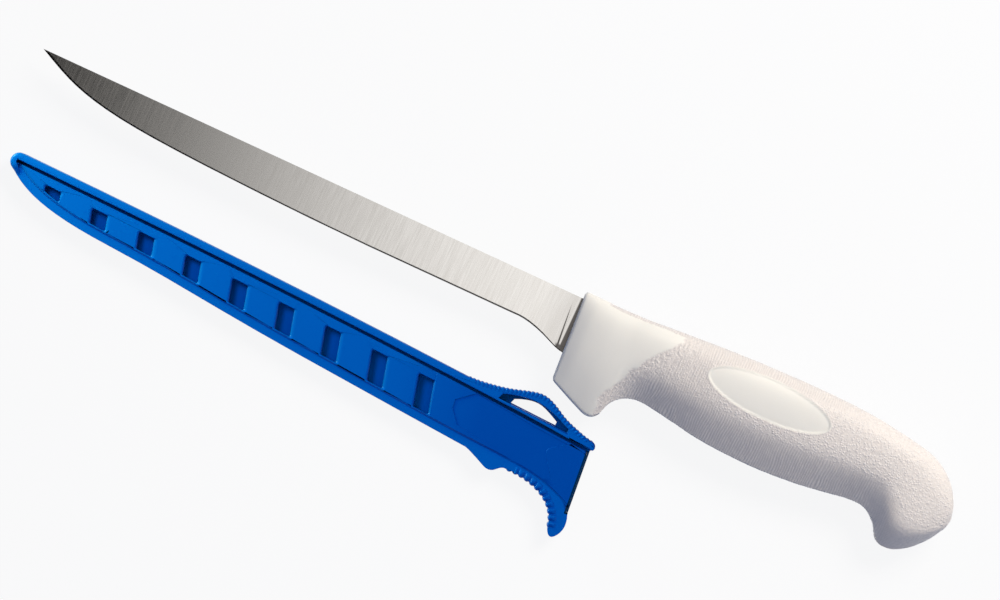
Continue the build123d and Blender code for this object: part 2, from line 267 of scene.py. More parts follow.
def end_material(tree: Tree, shader: Node) -> None:
    """Feeds a shader to the material's output."""
    add_node(tree, "OutputMaterial", links={"Surface": shader})


def blend_colours(tree: Tree, share: Source, first: str | Source, second: str | Source) -> Source:
    """Mixes two colours, each a hex text or a socket, by a share from a socket.

    Args:
        tree: the material's node tree.
        share: socket with the second colour's share.
        first: hex text or socket.
        second: hex text or socket.

    Returns:
        The socket with the mixed colour.
    """
    settings, links = {"data_type": "RGBA"}, {"Factor": share}
    for place, colour in ((6, first), (7, second)):
        if isinstance(colour, str):
            settings[place] = linear(colour)
        else:
            links[place] = colour
    return add_node(tree, "Mix", settings, links).outputs[2]


@dataclass(frozen=True)
class BrushedSteel:
    """High-carbon stainless steel, belt ground across the blade.

    The belt leaves fine lines from the back to the edge, so the eye sees a grey satin that goes
    light and dark in long soft bands along the blade, with faint streaks across it.

    A tuple of four is a ramp: two readings, and the values at them. The ramps of the heel's painted shade and
    shadow read the distance from the handle's front or the height over the blade's back.
    """

    tint: str = "#C9C6C2"
    streak_tint: str = "#B8B5B2"
    # These two tints and the heel's ramps paint shade and shadow near the handle, not a colour of the steel
    heel_shadow_tint: str = "#8F8B88"
    step_shade_tint: str = "#241F1C"
    roughness: tuple = (0.3, 0.7, 0.19, 0.31)
    streak_width: float = 0.5 * MM
    streak_length: float = 14 * MM
    streak_share: tuple = (0.35, 0.7, 0.0, 0.6)
    scratch_depth: float = 0.004 * MM
    anisotropic: float = 0.55
    seat: tuple = (0.0, 0.0, 0.0)
    wear: tuple = (-120 * MM, -20 * MM, 1.0, 0.35)
    heel_shade: tuple = (-13 * MM, -1 * MM, 0.0, 0.3)
    step_place: float = 2.9 * MM
    step_slope: float = 0.09
    step_half_width: tuple = (-3 * MM, -17 * MM, 0.06 * MM, 0.3 * MM)
    step_edge: tuple = (-0.12 * MM, 0.1 * MM, 0.0, 0.9)
    step_fade: tuple = (-2 * MM, -7 * MM, 0.0, 1.0)
    spot_height: tuple = (-17.2 * MM, -17.9 * MM, 0.0, 0.85)
    spot_reach: tuple = (-2.4 * MM, -1.6 * MM, 0.0, 1.0)
    grip_joint_shadow: tuple = (-0.65 * MM, -0.3 * MM, 0.0, 0.88)

    def heel(self, tree: Tree, x: Source, y: Source, colour: Source) -> Source:
        """Paints shade and shadow on the blade where the grinding stops short of the handle.

        The blade is painted darker towards the handle. A thin dark line of painted shade follows the step
        that crosses the blade there and widens towards the heel, where it ends in a dark spot of painted
        shadow.
        Another thin line of painted shadow lies where the blade meets the grip.

        Args:
            tree: the material's node tree.
            x: socket with the distance from the front of the handle, in metres.
            y: socket with the height over the back of the blade, in metres.
            colour: socket with the steel's colour.

        Returns:
            The socket with the colour darkened by the painted shade and shadow.
        """
        ramps = (
            (x, self.heel_shade), (y, self.step_half_width), (y, self.step_fade),
            (y, self.spot_height), (x, self.spot_reach), (x, self.grip_joint_shadow),
        )
        shade, half_width, fade, spot, reach, grip_joint_shadow = (
            add_node(tree, "MapRange", dict(zip(RAMP, ramp)), {"Value": value}) for value, ramp in ramps
        )
        slant = {"operation": "MULTIPLY_ADD", 1: self.step_slope, 2: self.step_place}
        away = add_node(tree, "Math", {"operation": "ADD"}, {0: x, 1: add_node(tree, "Math", slant, {0: y})})
        away = add_node(tree, "Math", {"operation": "ABSOLUTE"}, {0: away})
        inside = add_node(tree, "Math", {"operation": "SUBTRACT"}, {0: half_width, 1: away})
        line = add_node(tree, "MapRange", dict(zip(RAMP, self.step_edge)), {"Value": inside})
        line = add_node(tree, "Math", TIMES, {0: line, 1: fade})
        spot = add_node(tree, "Math", TIMES, {0: spot, 1: reach})
        for share in (spot, grip_joint_shadow):
            line = add_node(tree, "Math", {"operation": "MAXIMUM"}, {0: line, 1: share})
        # Painted shade towards the handle, then the lines of painted shade and shadow over it
        colour = blend_colours(tree, shade, colour, self.heel_shadow_tint)
        return blend_colours(tree, line, colour, self.step_shade_tint)

    def material(self) -> Material:
        """Builds the node material.

        Returns:
            The steel, whose streaks read Object coordinates.
        """
        material, tree = start_material("belt_ground_steel")
        place = add_node(tree, "TexCoord").outputs["Object"]
        from_seat = add_node(tree, "VectorMath", {"operation": "SUBTRACT", 1: self.seat}, {0: place})
        x, y = add_node(tree, "SeparateXYZ", {}, {0: from_seat}).outputs[:2]
        # The belt polishes the wide part near the handle smoother than the thin tip
        worn = add_node(tree, "MapRange", dict(zip(RAMP, self.wear)), {"Value": x})
        # The real lines are 0.05 mm apart, too fine to show, so these are ten times as wide
        stretch = (1 / self.streak_width, 1 / self.streak_length, 1 / self.streak_length)
        streaks_at = add_node(tree, "Mapping", {"Scale": stretch}, {"Vector": place})
        noise = {"Scale": 1.0, "Detail": 3.0, "Roughness": 0.7}
        streaks = add_node(tree, "TexNoise", noise, {"Vector": streaks_at})
        share, rough = (
            add_node(tree, "MapRange", dict(zip(RAMP, ramp)), {"Value": streaks})
            for ramp in (self.streak_share, self.roughness)
        )
        share = add_node(tree, "Math", TIMES, {0: share, 1: worn})
        colour = self.heel(tree, x, y, blend_colours(tree, share, self.tint, self.streak_tint))
        height = add_node(tree, "Math", TIMES, {0: streaks, 1: worn})
        bump = add_node(tree, "Bump", {"Strength": 0.3, "Distance": self.scratch_depth}, {"Height": height})
        shader = add_node(
            tree,
            "BsdfPrincipled",
            {"Metallic": 1.0, "Anisotropic": self.anisotropic},
            {
                "Base Color": colour,
                "Roughness": rough,
                "Normal": bump,
                "Tangent": add_node(tree, "CombineXYZ", {"Y": 1.0}),
            },
        )
        end_material(tree, shader)
        return material


@dataclass(frozen=True)
class SoftGrip:
    """White thermoplastic elastomer, moulded in a textured tool.

    It is a warm matt white that lets a little light in, so the grain shows as soft grey specks. The shade in
    its hollows is partly painted, and its specks carry painted highlights.
    """

    tint: str = "#E9E5E1"
    smooth_tint: str = "#ECEDE7"
    hollow_shade_tint: str = "#D8D5D2"
    roughness: float = 0.42
    gloss: float = 0.28
    grain_width: float = 0.45 * MM
    grain_depth: float = 0.07 * MM
    scatter: float = 0.08
    scatter_reach: float = 0.5 * MM
    speck_pitch: float = 0.8 * MM
    speck_height: float = 0.12 * MM
    speck_highlight_tint: str = "#FFFFFF"
    speck_rise: tuple = (0.5, 0.1)
    speck_highlight_share: float = 0.3

    def material(self) -> Material:
        """Builds the node material.

        Returns:
            The rubber, which reads the piece's texture and relief attributes.
        """
        material, tree = start_material("white_soft_grip_rubber")
        place = add_node(tree, "TexCoord").outputs["Object"]
        relief, textured, speckled = (
            add_node(tree, "Attribute", {"attribute_name": name}).outputs["Fac"]
            for name in ("relief", "textured", "speckled")
        )
        # Painted shade: the grain is painted darker than the smooth guard, and its hollows darker still
        skin = blend_colours(tree, textured, self.smooth_tint, self.tint)
        colour = blend_colours(tree, relief, self.hollow_shade_tint, skin)
        noise = {"Scale": 1 / self.grain_width, "Detail": 2.0, "Roughness": 0.6}
        fine = add_node(tree, "TexNoise", noise, {"Vector": place})
        height = add_node(tree, "Math", TIMES, {0: fine, 1: textured})
        bump = add_node(tree, "Bump", {"Strength": 1.0, "Distance": self.grain_depth}, {"Height": height})
        # Spark erosion leaves the tool full of tiny cups, so the skin has rounded specks that catch the
        # light;
        # their crests are also painted white, a painted highlight
        cells = add_node(tree, "TexVoronoi", {"Scale": 1 / self.speck_pitch}, {"Vector": place})
        speck = add_node(tree, "MapRange", dict(zip(RAMP, self.speck_rise)), {"Value": cells})
        speck = add_node(tree, "Math", TIMES, {0: speck, 1: speckled})
        share = add_node(tree, "Math", {**TIMES, 1: self.speck_highlight_share}, {0: speck})
        colour = blend_colours(tree, share, colour, self.speck_highlight_tint)
        heights = {"Height": speck, "Normal": bump}
        bump = add_node(tree, "Bump", {"Strength": 1.0, "Distance": self.speck_height}, heights)
        shader = add_node(
            tree,
            "BsdfPrincipled",
            {
                "Roughness": self.roughness,
                "Specular IOR Level": self.gloss,
                "IOR": 1.48,
                "Subsurface Weight": self.scatter,
                "Subsurface Radius": (1.0, 0.9, 0.8),
                "Subsurface Scale": self.scatter_reach,
            },
            {"Base Color": colour, "Normal": bump},
        )
        end_material(tree, shader)
        return material


@dataclass(frozen=True)
class HardCore:
    """Polypropylene core, moulded round the tang: an off-white with a low, even gloss."""

    tint: str = "#D9D6CF"
    roughness: float = 0.42
    swirl_tint: str = "#CBC8C1"
    swirl_width: float = 6 * MM

    def material(self) -> Material:
        """Builds the node material.

        Returns:
            The core's plastic, with faint flow marks on Object coordinates.
        """
        material, tree = start_material("moulded_core_plastic")
        place = add_node(tree, "TexCoord").outputs["Object"]
        swirl = add_node(tree, "TexNoise", {"Scale": 1 / self.swirl_width}, {"Vector": place})
        colour = blend_colours(tree, swirl, self.tint, self.swirl_tint)
        shader = add_node(tree, "BsdfPrincipled", {"Roughness": self.roughness}, {"Base Color": colour})
        end_material(tree, shader)
        return material


@dataclass(frozen=True)
class SheathPlastic:
    """Blue polypropylene, injection moulded with a fine satin skin.

    The eye sees a deep even blue with soft wide highlights and lighter edges. Heights in the
    tuples are over the surface that the sheath lies on.
    """

    tint: str = "#0058B4"
    cloud_tint: str = "#005EBC"
    hollow_shade_tint: str = "#00285E"
    gloss_tint: str = "#0094FF"
    gloss: float = 0.6
    roughness: float = 0.32
    shade_reach: float = 5 * MM
    shade_share: tuple = (0.15, 0.75)
    cloud_width: float = 40 * MM
    skin_width: float = 0.6 * MM
    skin_depth: float = 0.006 * MM
    mouth: tuple = (0.0, 0.0, 0.0)
    mouth_turn_degrees: float = 5.035
    mouth_lip: float = 0.75 * MM
    mouth_shadow_tint: str = "#000610"
    mouth_height: float = 23.0 * MM
    mouth_edge: float = 0.2 * MM
    pad_length: float = 56.0 * MM
    pad_tint: str = "#0048A6"
    pad_floor: tuple = (7.4 * MM, 7.65 * MM)
    rim_floor: tuple = (8.4 * MM, 8.3 * MM)

    def band(self, tree: Tree, value: Source, start: float, end: float) -> Node:
        """Gives a share that goes from 0 at the start to 1 at the end of a range of a value."""
        return add_node(tree, "MapRange", dict(zip(RAMP, (start, end))), {"Value": value})

    def material(self) -> Material:
        """Builds the node material.

        Returns:
            The plastic, with a fine skin on Object coordinates.
        """
        material, tree = start_material("blue_satin_polypropylene")
        place = add_node(tree, "TexCoord").outputs["Object"]
        skin, cloud = (
            add_node(tree, "TexNoise", {"Scale": 1 / width, "Detail": detail}, {"Vector": place})
            for width, detail in ((self.skin_width, 2.0), (self.cloud_width, 1.0))
        )
        colour = blend_colours(tree, cloud, self.tint, self.cloud_tint)
        # Painted shade: where ambient occlusion finds grooves and hollows, the blue is painted towards near
        # black, as saturated plastic bounces no white into them
        openness = add_node(tree, "AmbientOcclusion", {
            "Distance": self.shade_reach, "samples": 8
        }).outputs["AO"]
        colour = blend_colours(tree, self.band(tree, openness, *self.shade_share), self.hollow_shade_tint, colour)
        turn = math.radians(self.mouth_turn_degrees)
        from_mouth = add_node(tree, "VectorMath", {"operation": "SUBTRACT", 1: self.mouth}, {0: place})
        reach, height = (
            add_node(tree, "VectorMath", {"operation": "DOT_PRODUCT", 1: way}, {0: from_mouth}).outputs[1]
            for way in ((math.cos(turn), math.sin(turn), 0.0), (-math.sin(turn), math.cos(turn), 0.0))
        )
        rise = add_node(tree, "SeparateXYZ", {}, {0: from_mouth}).outputs[2]
        # The panel and its raised pad are painted a deeper blue towards the mouth, from about 73 to 39 mm
        # before it
        pad = (
            (reach, -1.3 * self.pad_length, -0.7 * self.pad_length),
            (rise, *self.pad_floor),
            (rise, *self.rim_floor),
        )
        # Painted shadow: the open end of the slot, which shows past the cover's edge, is painted near black
        slot = (
            (reach, -1.5 * self.mouth_lip, -1.3 * self.mouth_lip),
            (height, -self.mouth_height - self.mouth_edge, -self.mouth_height),
            (height, -self.mouth_edge, -2.5 * self.mouth_edge),
            (rise, *self.rim_floor),
        )
        for tint, limits in ((self.pad_tint, pad), (self.mouth_shadow_tint, slot)):
            share, *others = (self.band(tree, *limit) for limit in limits)
            for other in others:
                share = add_node(tree, "Math", TIMES, {0: share, 1: other})
            colour = blend_colours(tree, share, colour, tint)
        bump = add_node(tree, "Bump", {"Strength": 0.6, "Distance": self.skin_depth}, {"Height": skin})
        shader = add_node(
            tree,
            "BsdfPrincipled",
            {
                "Roughness": self.roughness,
                "IOR": 1.49,
                "Specular IOR Level": self.gloss,
                "Specular Tint": linear(self.gloss_tint),
            },
            {"Base Color": colour, "Normal": bump},
        )
        end_material(tree, shader)
        return material


# Knife


@dataclass
class KnifePlace:
    """Where the knife's own axes lie in the frame.

    Its X is 0 at the front of the handle, Y is 0 on the blade's straight back, and Z is 0 at the
    middle of the blade's thickness.
    """

    blade_length: float = 203.0

    def origin(self) -> np.ndarray:
        """Returns the origin of the knife's axes, in millimetres of the frame."""
        low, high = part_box("blade")
        return np.array([low.x / MM + self.blade_length, high.y / MM, (low.z + high.z) / 2 / MM])


@dataclass
class Handle:
    """The soft grip: an egg-shaped section carried from the guard to the hooked butt.

    Each station gives back x, back y, belly x, belly drop and half thickness as shares of the
    length, the depth, the length, the depth and the thickness.
    """

    place: KnifePlace
    length: float = 146.0
    depth: float = 36.0
    thickness: float = 22.0
    back_power: float = 0.72
    belly_power: float = 1.12
    side_power: float = 0.62
    widest_share: float = 0.12
    belly_side_power: float = 0.3
    bevel_start: float = 0.25
    butt_bevel_start: float = 0.46
    butt_rim: float = 0.14
    guard_rim: float = 0.54
    belly_rim: float = 0.26
    front_round: float = 1.0
    columns: int = 190
    fine_spacing: float = 0.26
    coarse_spacing: float = 0.55
    rib_pitch: float = 0.88
    rib_depth: float = 0.2
    grain_pitch: float = 0.8
    grain_depth: float = 0.12
    texture_sink: float = 0.12
    badge_length: float = 45.2
    badge_height: float = 14.1
    badge_recess: float = 0.4
    badge_wall: float = 0.5
    badge_place: float = 71.8
    badge_drop: float = 4.8
    # Ramps along the handle: where each starts and ends, as x in the knife's axes
    rim_start: tuple = (18, 30)
    butt_rim_start: tuple = (122, 132)
    butt_bevel_at: tuple = (118, 127)
    belly_ribs_end: tuple = (132, 126)
    back_ribs_end: tuple = (112, 90)
    front_ribs_end: tuple = (66, 46)
    # Ramps over x behind the smooth guard's edge
    grain_start: tuple = (-0.4, 1.2)
    coarse_grain_end: tuple = (11, 1)
    # Ramps round the section, in turns from the back, and where the guard's edge meets the back
    near_back: tuple = (0.62, 0.42)
    back_ribs: tuple = (1.05, 0.8)
    belly_slope: tuple = (1.9, 2.15)
    guard_edge_at_back: float = 9.0
    station_shares: tuple = (
        (0.000, 0.075, 0.014, 0.822, 0.195),
        (0.036, 0.075, 0.043, 0.875, 0.310),
        (0.080, 0.076, 0.086, 0.950, 0.382),
        (0.115, 0.079, 0.120, 0.996, 0.415),
        (0.135, 0.081, 0.145, 0.955, 0.430),
        (0.156, 0.084, 0.158, 0.812, 0.442),
        (0.182, 0.092, 0.182, 0.712, 0.456),
        (0.222, 0.104, 0.222, 0.668, 0.474),
        (0.288, 0.125, 0.288, 0.700, 0.490),
        (0.390, 0.151, 0.392, 0.763, 0.499),
        (0.514, 0.169, 0.514, 0.782, 0.500),
        (0.630, 0.172, 0.622, 0.757, 0.498),
        (0.726, 0.156, 0.705, 0.709, 0.492),
        (0.800, 0.120, 0.760, 0.675, 0.484),
        (0.850, 0.089, 0.800, 0.685, 0.476),
        (0.886, 0.060, 0.832, 0.775, 0.466),
        (0.918, 0.011, 0.858, 0.920, 0.452),
        (0.945, -0.062, 0.893, 0.940, 0.425),
        (0.969, -0.160, 0.932, 0.862, 0.375),
        (0.988, -0.290, 0.968, 0.715, 0.290),
        (0.998, -0.425, 0.992, 0.560, 0.165),
    )
    # Where the smooth guard ends on the handle's side, from its back to its belly: x and y
    guard_edge: tuple = ((38.0, 4.0), (35.0, -2.0), (30.0, -8.0), (25.0, -15.0), (22.0, -22.0), (19.0, -26.0))
    pieces: list = field(default_factory=list)

    def rows(self, places: np.ndarray) -> np.ndarray:
        """Station values at places that count stations from 0, on a cubic through the table.

        The slope at a station is half the difference of its two neighbours, or of the end station
        and its one neighbour.

        Args:
            places: numbers from 0 to the last station.

        Returns:
            One row of five lengths in millimetres per place.
        """
        table = np.array(self.station_shares)
        table = table * [self.length, self.depth, self.length, -self.depth, self.thickness]
        last = len(table) - 1
        here = np.clip(np.floor(places).astype(int), 0, last - 1)
        t = (places - here)[:, None]
        before, after = table[np.maximum(here - 1, 0)], table[here + 1]
        beyond = table[np.minimum(here + 2, last)]
        start, rise = table[here], after - table[here]
        slope_here, slope_after = (after - before) / 2, (beyond - start) / 2
        cubic = slope_here + slope_after - 2 * rise
        square = 3 * rise - 2 * slope_here - slope_after
        return start + t * (slope_here + t * (square + t * cubic))

    def row_places(self) -> np.ndarray:
        """Places of the mesh's rows: close together where ribs and grain are, wider on the guard.

        Returns:
            Station places whose travel along the handle follows the two spacings.
        """
        fine = np.linspace(0, len(self.station_shares) - 1, 2000)
        table = self.rows(fine)
        back = np.hypot(np.diff(table[:, 0]), np.diff(table[:, 1]))
        belly = np.hypot(np.diff(table[:, 2]), np.diff(table[:, 3]))
        middle = (table[:, 0] + table[:, 2]) / 2
        spacing = self.coarse_spacing + (self.fine_spacing - self.coarse_spacing) * (
            smooth(16, 22, middle) - 0.5 * smooth(118, 124, middle)
        )
        steps = np.concatenate([[0], np.cumsum((back + belly) / 2 / spacing[1:])])
        count = int(steps[-1])
        return np.interp(np.linspace(0, steps[-1], count + 1), steps, fine)

    def sections(self, rows: np.ndarray, turns: np.ndarray, dip: float = 0.0) -> np.ndarray:
        """Points of the handle's skin in the knife's axes.

        With a the cosine of the turn from the back, s is a to the back power, or minus the belly
        power of its size below the middle, plus the widest share of one minus s squared. The point
        lies s halves of the way from the middle to the back, and stands off it by the half
        thickness times the sine to the side power. Below the bevel's start the height is the
        softened lesser of this and a straight bevel that ends in a narrow rim and is shorter at the
        butt. At the front the whole section is drawn in by a quarter round.

        Args:
            rows: station rows.
            turns: turns from the back, over the front side, round the belly and up the other side.
            dip: how far both sides are pulled in.

        Returns:
            An array of rows, turns and three coordinates.
        """
        a, b = np.cos(turns), np.sin(turns)
        s = np.where(a > 0, np.abs(a) ** self.back_power, -(np.abs(a) ** self.belly_power))
        s = s + self.widest_share * (1 - s * s)
        back, belly = rows[:, None, 0:2], rows[:, None, 2:4]
        half = np.linalg.norm(back - belly, axis=-1, keepdims=True) / 2
        from_front = np.clip(self.front_round - rows[:, None, None, 0], 0, self.front_round)[..., 0]
        drawn_in = self.front_round - np.sqrt(self.front_round**2 - from_front**2)
        plan = (back + belly) / 2 + s[None, :, None] * (1 - drawn_in[..., None] / half) * (back - belly) / 2
        side = np.abs(b) ** np.where(a > 0, self.side_power, self.belly_side_power)
        middle = (rows[:, 0:1] + rows[:, 2:3]) / 2
        rim = self.guard_rim + (self.belly_rim - self.guard_rim) * smooth(*self.rim_start, middle)
        rim = rim + (self.butt_rim - self.belly_rim) * smooth(*self.butt_rim_start, middle)
        start = self.bevel_start + (self.butt_bevel_start - self.bevel_start) * smooth(
            *self.butt_bevel_at, middle
        )
        bevel = rim + (1 - rim) * (s[None, :] + 1) / (1 - start)
        side = side * bevel / (side**8 + bevel**8) ** (1 / 8)
        height = (rows[:, 4:5] - dip - drawn_in) * np.sign(b) * side
        return np.concatenate([plan, height[..., None]], axis=-1)

    def turns(self) -> np.ndarray:
        """Spreads the mesh's columns evenly along the section at the handle's middle.

        Returns:
            The turn of each column, from the back.
        """
        fine = np.linspace(0, 2 * math.pi, 4001)
        middle = self.rows(np.array([10.0]))
        line = self.sections(middle, fine)[0]
        travel = np.concatenate([[0], np.cumsum(np.linalg.norm(np.diff(line, axis=0), axis=1))])
        return np.interp(np.linspace(0, travel[-1], self.columns, endpoint=False), travel, fine)

    def relief(self, skin: np.ndarray, turns: np.ndarray) -> tuple[np.ndarray, np.ndarray, np.ndarray]:
        """Depth of the moulded texture below the skin, and how textured and speckled the skin is.

        Ribs are a cosine of x with a wandering phase, thinned by noise. Grains are domes. Ribs
        fade into grain away from the belly slope and close behind the smooth guard.

        Args:
            skin: points of the skin in the knife's axes.
            turns: turn of each column.

        Returns:
            The texture's depth, its share, and the share of specks, per point.
        """
        x, y = skin[..., 0], skin[..., 1]
        edge = np.array(self.guard_edge)
        wander = soft_noise(skin, 2.2, 3) - 0.5
        edge_x = np.interp(-y, -edge[:, 1], edge[:, 0])
        from_back = np.minimum(turns, 2 * math.pi - turns)[None, :]
        near_back = smooth(*self.near_back, from_back)
        edge_x = edge_x + (self.guard_edge_at_back - edge_x) * near_back
        textured = smooth(*self.grain_start, x - edge_x + 1.6 * wander)
        behind_guard = smooth(*self.coarse_grain_end, x - edge_x) * (1 - near_back)
        oval = np.hypot(
            (x - self.badge_place) / (self.badge_length / 2), (y + self.badge_drop) / (self.badge_height / 2)
        )
        textured = textured * smooth(1.0, 1.03, oval)
        belly_slope = smooth(*self.belly_slope, from_back)
        front_side = smooth(*self.front_ribs_end, x)
        back_ribs = smooth(*self.back_ribs, from_back) * smooth(*self.back_ribs_end, x)
        ribbed = np.clip(belly_slope * smooth(*self.belly_ribs_end, x) + front_side + back_ribs, 0, 1)
        ribbed = ribbed * (1 - 0.8 * behind_guard)
        phase = x / self.rib_pitch + 1.5 * (soft_noise(skin * [0.25, 0.12, 0.25], 1.0, 11) - 0.5)
        broken = smooth(0.15, 0.75, soft_noise(skin * [1, 0.45, 0.45], 1.1, 5))
        ribs = (0.5 + 0.5 * np.cos(2 * math.pi * phase)) * (0.55 + 0.45 * broken)
        domes = grains(skin, self.grain_pitch, 21)
        ribs_depth = self.rib_depth * (1 - ribs) * ribbed
        grain_depth = self.grain_depth * (1 - domes) * (
            1 - 0.75 * ribbed + 0.35 * front_side * (1 - belly_slope)
        )
        depth = (ribs_depth + grain_depth * (1 + 0.8 * behind_guard)) * textured
        speckled = textured * (1 - 0.85 * belly_slope) * (1 - 0.6 * back_ribs) * (1 - 0.4 * front_side)
        return depth, textured, np.maximum(speckled, 0.8 * behind_guard * textured)

    def skin(self) -> Piece:
        """Builds the whole grip as one closed surface with its ribs, grain and label recesses.

        The skin's points move inwards by the texture's depth along the cross product of the two
        directions of the grid.

        Returns:
            The grip, with the attributes that its material reads.
        """
        rows = self.rows(self.row_places())
        turns = self.turns()
        outer = self.sections(rows, turns)
        inner = self.sections(rows, turns, self.badge_recess)
        x, y = outer[..., 0], outer[..., 1]
        dx = (x - self.badge_place) / (self.badge_length / 2)
        dy = (y + self.badge_drop) / (self.badge_height / 2)
        oval = np.hypot(dx, dy)
        slope = np.hypot(dx / (self.badge_length / 2), dy / (self.badge_height / 2)) / np.maximum(oval, 0.1)
        inside = smooth(0, self.badge_wall, (1 - oval) / slope) * (np.abs(np.sin(turns)) > 0.3)
        points = outer + (inner - outer) * inside[..., None]
        depth, textured, speckled = self.relief(outer, turns)
        along = np.gradient(outer, axis=0)
        around = np.roll(outer, -1, axis=1) - np.roll(outer, 1, axis=1)
        normal = np.cross(along, around)
        normal /= np.maximum(np.linalg.norm(normal, axis=-1, keepdims=True), 1e-9)
        outward = np.sign((normal * (outer - outer.mean(axis=1, keepdims=True))).sum(axis=-1).mean())
        points = points - normal * outward * (depth + self.texture_sink * textured)[..., None]
        count, columns = points.shape[:2]
        body = points.reshape(-1, 3) + self.place.origin()
        ends = np.array([body[:columns].mean(axis=0), body[-columns:].mean(axis=0)])
        ring = np.arange(columns)
        beside = (ring + 1) % columns
        front_centre, butt_centre = len(body), len(body) + 1
        last = (count - 1) * columns
        quads = ring_faces(count, columns)
        front = np.stack([np.full(columns, front_centre), beside, ring], axis=-1)
        butt = np.stack([np.full(columns, butt_centre), last + ring, last + beside], axis=-1)
        if outward < 0:
            quads = quads[:, ::-1]
        piece = mesh_object(
            "grip_skin", np.vstack([body, ends]), quads.tolist() + front.tolist() + butt.tolist()
        )
        height = np.clip(1 - depth / self.rib_depth, 0, 1)
        for name, values, at_ends in (
            ("relief", height, 1), ("textured", textured, 0), ("speckled", speckled, 0)
        ):
            give_attribute(piece, name, np.append(values, [at_ends, at_ends]))
        turn_outwards(piece)
        return piece

    def build(self) -> None:
        """Makes the grip, dresses it and the core, and puts the grip in its node's place."""
        piece = self.skin()
        piece.data.materials.append(SoftGrip().material())
        settle(piece, Rider.KNIFE, Slot.GRIP, "handle_grip")
        self.pieces.append(piece)
        dress_node("handle_core", HardCore().material())


def turn_outwards(piece: Piece) -> None:
    """Turns all faces of a closed piece outwards.

    Args:
        piece: the closed piece.
    """
    work = bmesh.new()
    work.from_mesh(piece.data)
    bmesh.ops.recalc_face_normals(work, faces=work.faces)
    work.to_mesh(piece.data)
    work.free()


def closed_tube(name: str, points: np.ndarray) -> Piece:
    """Makes a closed piece from rings of points along a line, with a flat cap on each end.

    Args:
        name: the piece's name.
        points: rings along the line, points round each ring, and three coordinates in millimetres.

    Returns:
        The piece, with its faces outwards.
    """
    count, around = points.shape[:2]
    last = (count - 1) * around
    caps = [list(range(around)), list(range(last, last + around))]
    piece = mesh_object(name, points.reshape(-1, 3), ring_faces(count, around).tolist() + caps)
    turn_outwards(piece)
    return piece


def dress_node(node: str, material: Material) -> None:
    """Gives a CAD node one material in all its slots.

    Args:
        node: the node's name.
        material: what it is dressed in.
    """
    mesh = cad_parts[node].data
    mesh.materials.clear()
    mesh.materials.append(material)
    LOG.info("%s: dressed", node)


@dataclass
class Blade:
    """The ground blade, shown by its CAD node."""

    place: KnifePlace

    def build(self) -> None:
        """Dresses the blade in ground steel."""
        dress_node("blade", BrushedSteel(seat=tuple(self.place.origin() * MM)).material())


@dataclass
class SheathPlace:
    """Where the sheath's own axes lie in the frame: 0 at its mouth, on the chord of its groove."""

    knife: KnifePlace
    shift: tuple = (23.2, -46.4)
    turn_degrees: float = -2.065

    def axes(self) -> tuple[np.ndarray, np.ndarray]:
        """Returns the origin of the sheath's axes, and their X and Y directions, one per row."""
        turn = math.radians(self.turn_degrees)
        ways = [[math.cos(turn), math.sin(turn)], [-math.sin(turn), math.cos(turn)]]
        return self.knife.origin()[:2] + self.shift, np.array(ways)

    def own(self, points: np.ndarray) -> np.ndarray:
        """Turns points of the frame into plan points of the sheath's axes."""
        start, ways = self.axes()
        return (points[..., :2] - start) @ ways.T

    def frame(self, points: np.ndarray) -> np.ndarray:
        """Turns points of the sheath's axes into points of the frame; heights stay."""
        start, ways = self.axes()
        return np.concatenate([points[..., :2] @ ways + start, points[..., 2:]], axis=-1)


